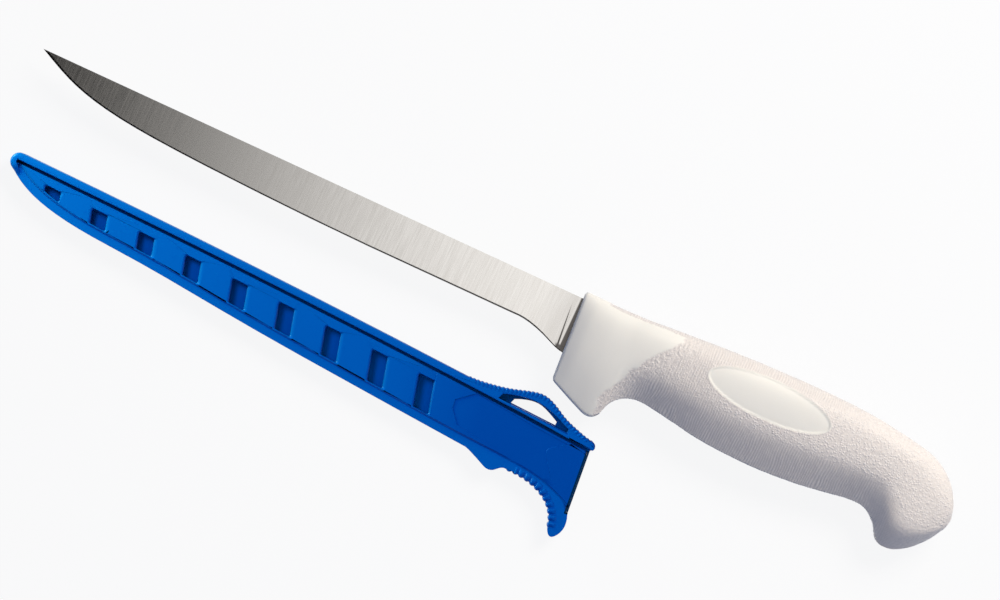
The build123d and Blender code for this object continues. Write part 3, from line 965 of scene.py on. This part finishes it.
@dataclass
class RoundedShell:
    """A moulded shell: a CAD node's flat faces and walls, with its outward edges rounded.

    Each corner point of a flat face is drawn in along the face by its reach, and the wall's point
    down the wall by the same reach. A strip joins the two on the quadratic curve whose ends are
    these two points and whose middle control is the corner itself. The highest and lowest edges
    take the rim's reach, and a share of it on the side of the blade's back. The others take the
    edge's reach, and less of it the more they face across the sheath.
    """

    node: str
    name: str
    rim_reach: float = 1.1
    far_rim_share: float = 0.3
    edge_reach: float = 0.9
    least_share: float = 0.12
    wall_share: float = 0.5
    segments: int = 4
    nose_side_spread: float = 0.5
    sharp_degrees: float = 40.0
    weld_distance: float = 0.001
    flat_share: float = 0.9999
    level_step: float = 0.02

    def welded(self) -> tuple[np.ndarray, np.ndarray]:
        """Reads the node's triangles and joins the points that lie on each other.

        Returns:
            Points in millimetres, and rows of three point numbers.
        """
        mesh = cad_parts[self.node].data
        mesh.calc_loop_triangles()
        points = np.empty(len(mesh.vertices) * 3, np.float32)
        mesh.vertices.foreach_get("co", points)
        corners = np.empty(len(mesh.loop_triangles) * 3, np.int32)
        mesh.loop_triangles.foreach_get("vertices", corners)
        points = points.reshape(-1, 3).astype(float) / MM
        cells = np.round(points / self.weld_distance).astype(np.int64)
        _, first, joined = np.unique(cells, axis=0, return_index=True, return_inverse=True)
        triangles = joined.reshape(-1)[corners].reshape(-1, 3)
        return points[first], triangles

    def borders(self, points: np.ndarray, triangles: np.ndarray) -> dict:
        """Finds the edges where flat faces end, and how far each may be rounded.

        Args:
            points: welded points.
            triangles: rows of three point numbers.

        Returns:
            Per border edge its start, end, level, inward direction, wall direction and reach, and
            per triangle its level, or minus one on a wall.
        """
        a, b, c = (points[triangles[:, i]] for i in range(3))
        normals = np.cross(b - a, c - a)
        areas = np.linalg.norm(normals, axis=1)
        normals /= np.maximum(areas, 1e-12)[:, None]
        flat = np.abs(normals[:, 2]) > self.flat_share
        keys = np.round(a[:, 2] / self.level_step).astype(int) * 2 + (normals[:, 2] > 0)
        levels = np.where(flat, np.unique(keys, return_inverse=True)[1].reshape(-1), -1)
        count = len(points)
        starts = triangles.reshape(-1)
        ends = np.roll(triangles, -1, axis=1).reshape(-1)
        owner = np.repeat(np.arange(len(triangles)), 3)
        # The other triangle on an edge runs along it the other way
        order = np.argsort(starts * count + ends)
        twin = order[np.searchsorted((starts * count + ends)[order], ends * count + starts)]
        border = (levels[owner] >= 0) & (levels[owner[twin]] != levels[owner])
        start, end, face, wall = starts[border], ends[border], owner[border], owner[twin[border]]
        run = points[end] - points[start]
        length = np.linalg.norm(run, axis=1)
        run /= length[:, None]
        inward = np.cross(normals[face], run)
        down = np.cross(run, normals[wall])
        middle = points[triangles[wall]].mean(axis=1) - points[start]
        down *= np.sign((down * middle).sum(axis=1))[:, None]
        convex = (middle * normals[face]).sum(axis=1) < -1e-4
        height = areas[wall] / length
        level = points[start][:, 2]
        outer = np.minimum(level - points[:, 2].min(), points[:, 2].max() - level) < self.level_step
        sideways = self.least_share + (1 - self.least_share) * np.abs(inward[:, 0])
        rim = self.rim_reach * np.where(inward[:, 1] < 0, 1, self.far_rim_share)
        reach = np.where(outer, rim, self.edge_reach * sideways)
        reach = np.minimum(reach, self.wall_share * height)
        reach = np.where(convex & (levels[wall] < 0), reach, 0.0)
        names = ("start", "end", "level", "inward", "down", "reach", "levels")
        return dict(zip(names, (start, end, levels[face], inward, down, reach, levels)))

    def build(self) -> Piece:
        """Builds the rounded shell.

        Returns:
            The new piece, closed like the solid it is made from.
        """
        points, triangles = self.welded()
        found = self.borders(points, triangles)
        ends = np.concatenate([found["start"], found["end"]])
        levels = np.tile(found["level"], 2)
        reach = np.full(len(points), np.inf)
        np.minimum.at(reach, ends, np.tile(found["reach"], 2))
        reach[np.isinf(reach)] = 0
        level_count = found["levels"].max() + 2
        pairs, pair_of = np.unique(ends * level_count + levels, return_inverse=True)
        pair_of = pair_of.reshape(-1)
        vertex = pairs // level_count
        inward, down = np.zeros((len(pairs), 3)), np.zeros((len(pairs), 3))
        np.add.at(inward, pair_of, np.tile(found["inward"], (2, 1)))
        np.add.at(down, pair_of, np.tile(found["down"], (2, 1)))
        inward *= 2 / np.maximum((inward**2).sum(axis=1), 1.0)[:, None]
        down /= np.maximum(np.linalg.norm(down, axis=1), 1e-9)[:, None]
        corner = points[vertex]
        spread = 1 + self.nose_side_spread * np.clip(inward[:, 0], 0, 1) ** 2
        drawn = corner + inward * (reach[vertex] * spread)[:, None]
        lowered = corner + down * reach[vertex][:, None]
        moved = points.copy()
        moved[vertex] = lowered
        steps = np.arange(self.segments)[:, None, None] / self.segments
        strip = (1 - steps) ** 2 * drawn + 2 * steps * (1 - steps) * corner + steps**2 * lowered
        fresh = len(points) + np.arange(self.segments * len(pairs)).reshape(self.segments, -1)
        numbers = np.vstack([fresh, vertex[None, :]])
        numbers = np.where(reach[vertex] > 0, numbers, vertex)
        first, last = pair_of[: len(found["start"])], pair_of[len(found["start"]) :]
        upper, lower = numbers[:-1], numbers[1:]
        quads = np.stack([upper[:, last], upper[:, first], lower[:, first], lower[:, last]], axis=-1)
        quads = quads.reshape(-1, 4)
        flat = found["levels"][:, None].repeat(3, axis=1)
        keys = triangles * level_count + flat
        place = np.clip(np.searchsorted(pairs, keys), 0, len(pairs) - 1)
        on_border = (pairs[place] == keys) & (flat >= 0)
        faces = np.where(on_border, numbers[0][place], triangles)
        every = np.vstack([faces, quads[:, [0, 1, 2]], quads[:, [0, 2, 3]]])
        whole = (every[:, 0] != every[:, 1]) & (every[:, 1] != every[:, 2]) & (every[:, 2] != every[:, 0])
        every = every[whole]
        used, renumbered = np.unique(every, return_inverse=True)
        everything = np.vstack([moved, strip.reshape(-1, 3)])[used]
        piece = mesh_object(self.name, everything, renumbered.reshape(-1, 3).tolist())
        piece.data.set_sharp_from_angle(angle=math.radians(self.sharp_degrees))
        modifier = piece.modifiers.new("face_normals", "WEIGHTED_NORMAL")
        modifier.keep_sharp = True
        return piece


@dataclass
class GripRidges:
    """Rounded ridges that run inwards over a flat face from the bumps of its gripping edge.

    The edge is read as a radius over the turn about a centre. A ridge's crest follows how far the
    edge stands out of its own running mean, and dies away inwards as a sine of the inset to a
    power.
    """

    shell: RoundedShell
    place: SheathPlace
    name: str
    level: float
    centre: tuple
    turns_degrees: tuple
    radii: tuple
    side: int
    pitch: float
    bump_height: float
    reach: float
    rise: float
    columns: int = 520
    rows: int = 12
    tuck: float = 0.4
    root: float = 0.5
    crest_power: float = 0.55
    inset_power: float = 1.6
    slack: float = 0.05
    facing: float = 0.3
    end_turn: float = 0.04
    overlap: float = 0.02
    sink: float = 0.03

    def edge(self) -> tuple[np.ndarray, np.ndarray]:
        """Reads the edge from the CAD node.

        Returns:
            Even turns about the centre, and the edge's radius at each.
        """
        points, triangles = self.shell.welded()
        found = self.shell.borders(points, triangles)
        start = found["start"]
        away = self.place.own(points[start]) - self.centre
        ahead = self.place.own(points[start] - found["inward"]) - self.centre
        radius, turn = np.hypot(away[:, 0], away[:, 1]), np.arctan2(away[:, 1], away[:, 0])
        outward = ((ahead - away) * away).sum(axis=1) / radius
        low, high = np.radians(self.turns_degrees)
        chosen = (np.abs(points[start, 2] - self.level) < self.slack) & (outward * self.side > self.facing)
        chosen &= (turn > low - self.slack) & (turn < high + self.slack)
        chosen &= (radius > self.radii[0]) & (radius < self.radii[1])
        order = np.argsort(turn[chosen])
        turns = np.linspace(low, high, self.columns)
        return turns, np.interp(turns, turn[chosen][order], radius[chosen][order])

    def build(self) -> Piece:
        """Builds the ridges as one closed strip whose root lies inside the face.

        Returns:
            The strip.
        """
        turns, radius = self.edge()
        step = (turns[1] - turns[0]) * radius.mean()
        window = max(int(self.pitch / step) | 1, 3)
        padded = np.pad(radius, window // 2, mode="reflect")
        mean = np.convolve(padded, np.ones(window) / window, mode="valid")
        stands_out = np.clip((radius - mean) * self.side / self.bump_height + 0.5, 0, 1)
        first, last = turns[0], turns[-1]
        ends = smooth(first, first + self.end_turn, turns) * smooth(last, last - self.end_turn, turns)
        inset = np.linspace(0, 1, self.rows) ** self.inset_power
        reached = radius[:, None] * (1 - inset) + (mean - self.side * self.reach)[:, None] * inset
        reached = reached + self.side * self.overlap * (inset == 0)
        crest = np.sin(math.pi * inset**self.crest_power)
        lip = -self.tuck * np.clip(1 - inset * self.reach / self.tuck, 0, 1) ** 2 - self.sink
        height = self.level + lip + self.rise * (stands_out * ends)[:, None] * crest
        under = np.stack([reached[:, -1], reached[:, 0] - self.side * 0.3], axis=-1)
        reached = np.concatenate([reached, under], axis=1)
        height = np.concatenate([height, np.full_like(under, self.level - self.root)], axis=1)
        x = self.centre[0] + reached * np.cos(turns)[:, None]
        y = self.centre[1] + reached * np.sin(turns)[:, None]
        points = self.place.frame(np.stack([x, y, height], axis=-1))
        return closed_tube(self.name, points)


@dataclass
class NoseBand:
    """The rim's turn round the nose, which lies over the seam of the two halves.

    Its line is the nose's arc and a short straight run along the lower edge, on which it comes down
    from the rim's height to the flange's. Its section has a wide round at the outer edge and a
    small one at the inner edge.
    """

    place: SheathPlace
    length: float = 221.2
    radius: float = 3.2
    centre_y: float = 0.049
    turns_degrees: tuple = (70.0, 233.0)
    run: float = 5.0
    run_degrees: float = -31.0
    heights: tuple = (8.52, 7.0)
    foot: float = 6.4
    width: float = 2.3
    narrowing: float = 0.55
    outer_round: float = 1.1
    inner_round: float = 0.3
    inset: float = 0.03
    steps: tuple = (60, 20, 7)

    def line(self) -> tuple[np.ndarray, np.ndarray, np.ndarray]:
        """Works out the band's course in the sheath's axes.

        Returns:
            Its outer line, its inward directions and its heights.
        """
        turns = np.radians(np.linspace(*self.turns_degrees, self.steps[0]))
        outward = np.stack([np.cos(turns), np.sin(turns)], axis=-1)
        arc = np.array([self.radius - self.length, self.centre_y]) + outward * self.radius
        ahead = math.radians(self.run_degrees)
        way = np.linspace(0, self.run, self.steps[1] + 1)[1:, None]
        straight = arc[-1] + way * np.array([math.cos(ahead), math.sin(ahead)])
        across = np.tile([-math.sin(ahead), math.cos(ahead)], (len(straight), 1))
        drop = smooth(0, self.run, np.concatenate([np.zeros(len(arc)), way[:, 0]]))
        height = self.heights[0] + (self.heights[1] - self.heights[0]) * drop
        return np.vstack([arc, straight]), np.vstack([-outward, across]), height

    def build(self) -> Piece:
        """Builds the band as one closed piece.

        Returns:
            The band.
        """
        line, inward, height = self.line()
        turns = np.linspace(0, math.pi / 2, self.steps[2])
        outer_in = self.inset + self.outer_round * (1 - np.cos(turns))
        outer_down = self.outer_round * (1 - np.sin(turns))
        inner_in = self.width - self.inner_round * (1 - np.sin(turns))
        inner_down = self.inner_round * (1 - np.cos(turns))
        across = np.concatenate([[self.inset], outer_in, inner_in, [self.width]])
        down = np.concatenate([outer_down, inner_down])
        tops = height[:, None] - down
        foot = np.full((len(line), 1), self.foot)
        heights = np.concatenate([foot, np.maximum(tops, self.foot), foot], axis=1)
        narrowing = 1 - self.narrowing * (self.heights[0] - height) / (self.heights[0] - self.heights[1])
        plan = line[:, None, :] + inward[:, None, :] * across[None, :, None] * narrowing[:, None, None]
        points = self.place.frame(np.concatenate([plan, heights[..., None]], axis=-1))
        return closed_tube("nose_band", points)


@dataclass
class Sheath:
    """The vented sheath: back shell and front cover, each with its moulded edges rounded."""

    place: SheathPlace
    mouth_place: float = 0.8
    pieces: list = field(default_factory=list)

    def build(self) -> None:
        """Makes both halves and dresses them in blue plastic."""
        mouth = self.place.frame(np.array([[self.mouth_place, 0.0, 0.0]]))[0]
        plastic = SheathPlastic(mouth=tuple(mouth * MM)).material()
        back = RoundedShell("sheath_back", "sheath_back_shell")
        front = RoundedShell("sheath_front", "sheath_front_cover")
        finger = GripRidges(
            front, self.place, "finger_ridges", level=7.1, centre=(-15.0, -32.0), turns_degrees=(9.0, 106.0),
            radii=(11.5, 16.5), side=-1, pitch=2.15, bump_height=0.5, reach=2.8, rise=0.7,
        )
        thumb = GripRidges(
            back, self.place, "thumb_ridges", level=8.5, centre=(-22.0, -30.0), turns_degrees=(57.0, 126.0),
            radii=(36.0, 44.0), side=1, pitch=1.47, bump_height=0.25, reach=1.9, rise=0.22,
        )
        nodes = {"sheath_back_shell": ["sheath_back"], "sheath_front_cover": ["sheath_front"]}
        for maker in (back, front, finger, thumb, NoseBand(self.place)):
            piece = maker.build()
            piece.data.materials.append(plastic)
            settle(piece, Rider.SHEATH, Slot.SHEATH, *nodes.get(piece.name, []))
            self.pieces.append(piece)


# Studio


@dataclass
class Studio:
    """Pale floor, soft lamps, a reflection tent and the camera straight above, in metres."""

    knife_pieces: list
    sheath_pieces: list
    floor_size: float = 6.0
    floor_gap: float = 0.00005
    camera_height: float = 1.5
    camera_turn_degrees: float = 24.835
    aim: tuple = (0.00299, 0.02386, 0.011)
    view_width: float = 0.3415
    sensor: float = 36.0
    floor_tint: str = "#DFE4EC"
    floor_glow: float = 0.9
    fill_tint: str = "#C8D6FF"
    fill_level: float = 0.31
    tent_radius: float = 0.7
    tent_rows: int = 24
    tent_columns: int = 48
    tent_along: tuple = (-0.243, 0.0, 0.01, 1.58)
    tent_across: tuple = (-0.45, 0.0, 0.06, 1.0)

    def camera(self) -> None:
        """Puts the camera over the knife, turned so that the knife slants down to the right."""
        data = bpy.data.cameras.new("camera")
        data.sensor_width = self.sensor
        data.lens = self.sensor * self.camera_height / self.view_width
        camera = bpy.data.objects.new("camera", data)
        camera.location = Vector(self.aim) + Vector((0, 0, self.camera_height))
        camera.rotation_euler = (0, 0, math.radians(self.camera_turn_degrees))
        bpy.context.scene.collection.objects.link(camera)
        bpy.context.scene.camera = camera

    def seen(self, tree: Tree) -> Source:
        """Gives the share of rays that come from the camera, a reflection or a clear piece.

        Args:
            tree: the node tree that asks.

        Returns:
            The socket with the share.
        """
        path = add_node(tree, "LightPath")
        either = path.outputs["Is Camera Ray"]
        for name in ("Is Glossy Ray", "Is Transmission Ray"):
            either = add_node(tree, "Math", {"operation": "MAXIMUM"}, {
                0: either, 1: path.outputs[name]
            }).outputs[0]
        return either

    def floor(self) -> None:
        """Lays the pale floor, which shows white to the eye and in reflections and keeps shadows."""
        half = self.floor_size / 2
        corners = [(-half, -half, 0), (half, -half, 0), (half, half, 0), (-half, half, 0)]
        floor = mesh_object("floor", np.array(corners) / MM, [[0, 1, 2, 3]])
        floor.data.transform(Matrix.Translation((0, 0, -self.floor_gap)))
        material, tree = start_material("pale_floor_paint")
        share = add_node(tree, "Math", {**TIMES, 1: self.floor_glow}, {0: self.seen(tree)})
        paint = add_node(tree, "BsdfDiffuse", {"Color": linear(self.floor_tint)})
        glow = add_node(tree, "Emission", {"Strength": 1.0})
        end_material(tree, add_node(tree, "MixShader", {}, {0: share, 1: paint, 2: glow}))
        floor.data.materials.append(material)

    def world(self) -> None:
        """Fills the room with plain pale light."""
        world = bpy.data.worlds.new("room")
        world.use_nodes = True
        tree = world.node_tree
        tree.nodes.clear()
        fill = add_node(tree, "Background", {"Color": linear(self.fill_tint), "Strength": self.fill_level})
        white = add_node(tree, "Background", {"Color": (1, 1, 1, 1), "Strength": 1.0})
        mixed = add_node(tree, "MixShader", {}, {0: self.seen(tree), 1: fill, 2: white})
        add_node(tree, "OutputWorld", links={"Surface": mixed})
        bpy.context.scene.world = world

    def lamp(self, name: str, place: tuple, size: float, power: float, colour: str, lit: list) -> None:
        """Hangs one square soft lamp that points at the frame's origin.

        Args:
            name: the lamp's name.
            place: where it hangs, in metres.
            size: its side.
            power: its power in watts.
            colour: hex colour of its light.
            lit: the pieces that it lights.
        """
        data = bpy.data.lights.new(name, "AREA")
        data.size = size
        data.energy = power
        data.color = linear(colour)[:3]
        lamp = bpy.data.objects.new(name, data)
        lamp.location = place
        lamp.rotation_euler = (-Vector(place)).to_track_quat("-Z", "Y").to_euler()
        lamp.visible_camera = False
        bpy.context.scene.collection.objects.link(lamp)
        group = bpy.data.collections.new(name)
        for piece in lit:
            group.objects.link(piece)
        lamp.light_linking.receiver_collection = group

    def tent(self) -> None:
        """Hangs a dome that only reflections see: dark over the blade's tip and low at the front.

        The dome is a sphere's upper part: turn round Z and rise from the floor to the top.
        """
        rise, turn = np.meshgrid(
            np.linspace(-0.02, math.pi / 2 - 0.01, self.tent_rows),
            np.linspace(0, 2 * math.pi, self.tent_columns, endpoint=False),
            indexing="ij",
        )
        radius = self.tent_radius / MM
        ring = radius * np.cos(rise)
        points = np.stack([ring * np.cos(turn), ring * np.sin(turn), radius * np.sin(rise)], axis=-1)
        last = (self.tent_rows - 1) * self.tent_columns
        cap = [list(range(last, last + self.tent_columns))]
        quads = ring_faces(self.tent_rows, self.tent_columns).tolist()
        tent = mesh_object("reflection_tent", points.reshape(-1, 3), quads + cap)
        material, tree = start_material("graded_tent_cloth")
        place = add_node(tree, "TexCoord").outputs["Object"]
        axes = add_node(tree, "SeparateXYZ", {}, {0: place}).outputs
        smoothly = {"interpolation_type": "SMOOTHSTEP"}
        along, across = (
            add_node(tree, "MapRange", {**smoothly, **dict(zip(RAMP, ramp))}, {"Value": axes[axis]})
            for axis, ramp in (("X", self.tent_along), ("Y", self.tent_across))
        )
        level = add_node(tree, "Math", TIMES, {0: along, 1: across})
        end_material(tree, add_node(tree, "Emission", {}, {"Strength": level}))
        tent.data.materials.append(material)
        for way in ("camera", "diffuse", "transmission", "volume_scatter", "shadow"):
            setattr(tent, "visible_" + way, False)

    def build(self) -> None:
        """Sets up the whole studio."""
        self.camera()
        self.floor()
        self.world()
        floor = bpy.data.objects["floor"]
        self.lamp("knife_key", (0.33, 0.68, 0.70), 0.45, 10.0, "#FFF3E1", [*self.knife_pieces, floor])
        self.lamp("sheath_key", (-0.39, 0.10, 0.10), 0.12, 2.15, "#FFFFB8", self.sheath_pieces)
        self.lamp("sheath_fill", (-0.40, 0.18, 0.80), 0.25, 3.5, "#8FCFFF", self.sheath_pieces)
        self.tent()
        bpy.context.scene.view_settings.view_transform = "Standard"


def main() -> None:
    """Builds the knife, the sheath and the studio, in that order."""
    logging.basicConfig(level=logging.INFO, format="%(name)s: %(message)s")
    place = KnifePlace()
    Blade(place).build()
    handle = Handle(place)
    handle.build()
    sheath = Sheath(SheathPlace(place))
    sheath.build()
    knife_pieces = [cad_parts["blade"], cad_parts["handle_core"], *handle.pieces]
    Studio(knife_pieces, sheath.pieces).build()


if __name__ == "__main__":
    main()
